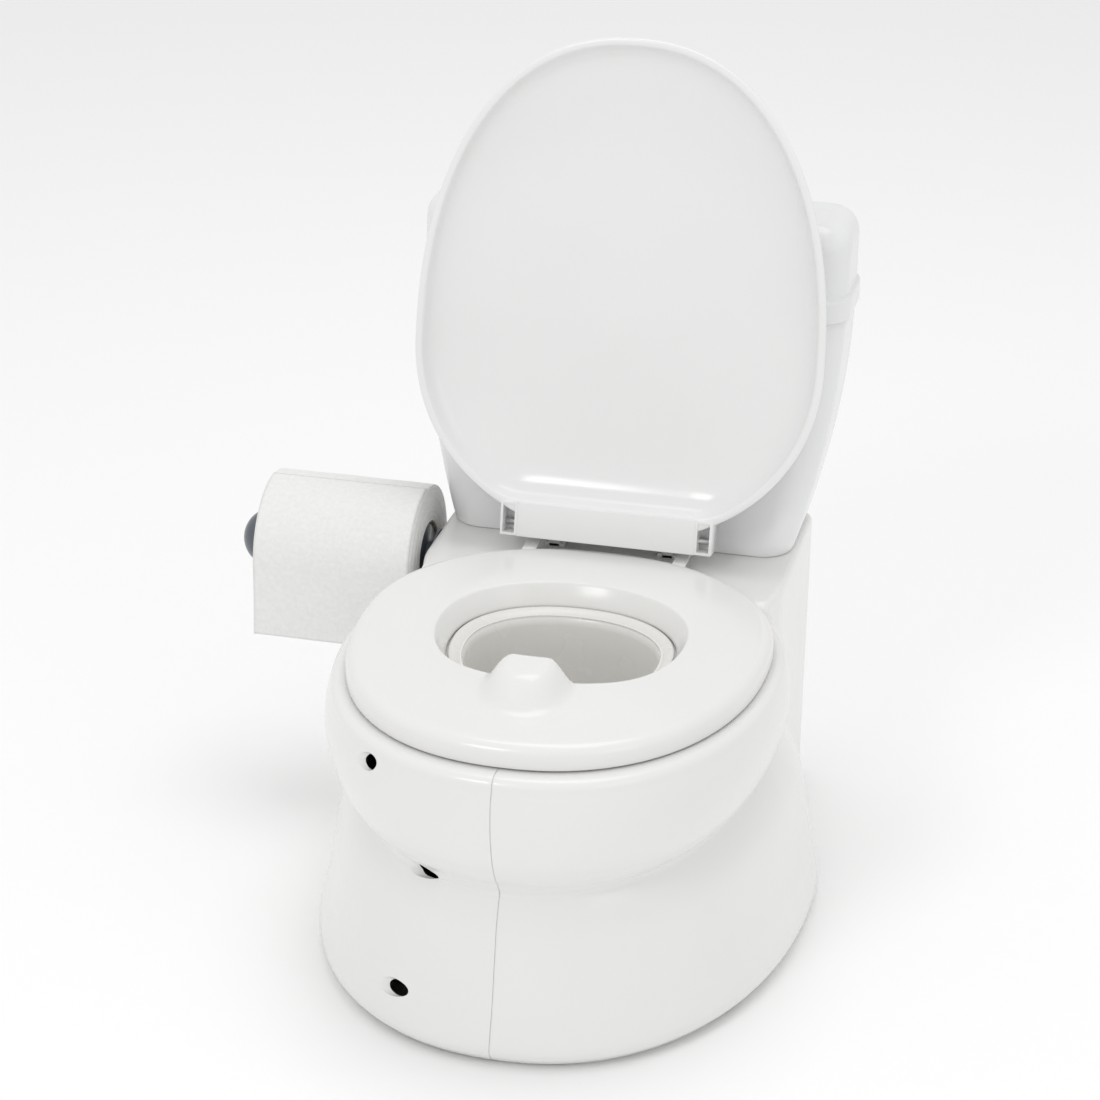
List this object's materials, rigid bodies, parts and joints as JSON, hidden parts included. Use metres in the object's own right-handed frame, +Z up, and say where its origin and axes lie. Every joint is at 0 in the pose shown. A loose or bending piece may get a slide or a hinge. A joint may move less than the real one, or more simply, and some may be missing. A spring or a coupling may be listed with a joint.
{
  "type": "potty training chair",
  "caption": "Potty training chair shaped like a small flush toilet, with a hinged lid and seat ring, a lift-out pot, a storage tank and a toilet roll holder.",
  "frame": {"origin": "on the floor, in the plane of symmetry of body and seat, 4.4 mm in front of the point below the hinge line", "axes": "+Z up, the front of the seat faces -Y, +X across; the roll holder is on the -X side"},
  "size_m": [0.3642, 0.3758, 0.4721],
  "materials": {
    "body": "glossy moulded polypropylene, slightly warm white",
    "tank_white": "glossy moulded polypropylene, cool white",
    "lid_white": "glossy moulded polypropylene",
    "pot_white": "glossy moulded polypropylene, warm white",
    "grey_plastic": "satin slate grey plastic",
    "foot_rubber": "matt black rubber",
    "screw_steel": "zinc plated",
    "pin_steel": "ground",
    "card": "grey-brown card",
    "tissue": "soft embossed tissue"
  },
  "bodies": {
    "base": {"body_left_half": "body", "body_right_half": "body", "body_screws": "screw_steel", "foot_front_left": "foot_rubber", "foot_front_right": "foot_rubber", "foot_rear_left": "foot_rubber", "foot_rear_right": "foot_rubber", "tank": "tank_white", "tank_screws": "screw_steel", "hinge_block_left": "body", "hinge_block_right": "body", "hinge_pin_left": "pin_steel", "hinge_pin_right": "pin_steel", "hinge_screws": "screw_steel", "roll_socket": "body"},
    "lid": {"toilet_lid": "lid_white"},
    "seat": {"seat_ring": "lid_white"},
    "pot": {"pot": "pot_white"},
    "tank_lid": {"tank_lid": "tank_white"},
    "spindle": {"roll_spindle": "grey_plastic", "roll_knob": "grey_plastic", "loose_sheet": "tissue"},
    "roll": {"roll_core": "card", "roll_paper": "tissue"}
  },
  "joints": [
    {"name": "lid_hinge", "type": "hinge", "parent": "base", "child": "lid", "pos_m": [0, 0.0044, 0.1944], "axis": [-1, 0, 0], "range_deg": [-100.7, 0]},
    {"name": "seat_hinge", "type": "hinge", "parent": "base", "child": "seat", "pos_m": [0, 0.0044, 0.1944], "axis": [-1, 0, 0], "range_deg": [0, 97]},
    {"name": "pot_lift", "type": "slide", "parent": "base", "child": "pot", "axis": [0, 0, 1], "range_m": [0, 0.15]},
    {"name": "tank_lid_lift", "type": "slide", "parent": "base", "child": "tank_lid", "axis": [0, 0.1857, 0.9826], "range_m": [0, 0.08]},
    {"name": "spindle_pull", "type": "slide", "parent": "base", "child": "spindle", "axis": [-1, 0, 0], "range_m": [0, 0.04]},
    {"name": "roll_spin", "type": "hinge", "parent": "spindle", "child": "roll", "pos_m": [-0.1595, 0.02, 0.16], "axis": [1, 0, 0], "continuous": true}
  ]
}
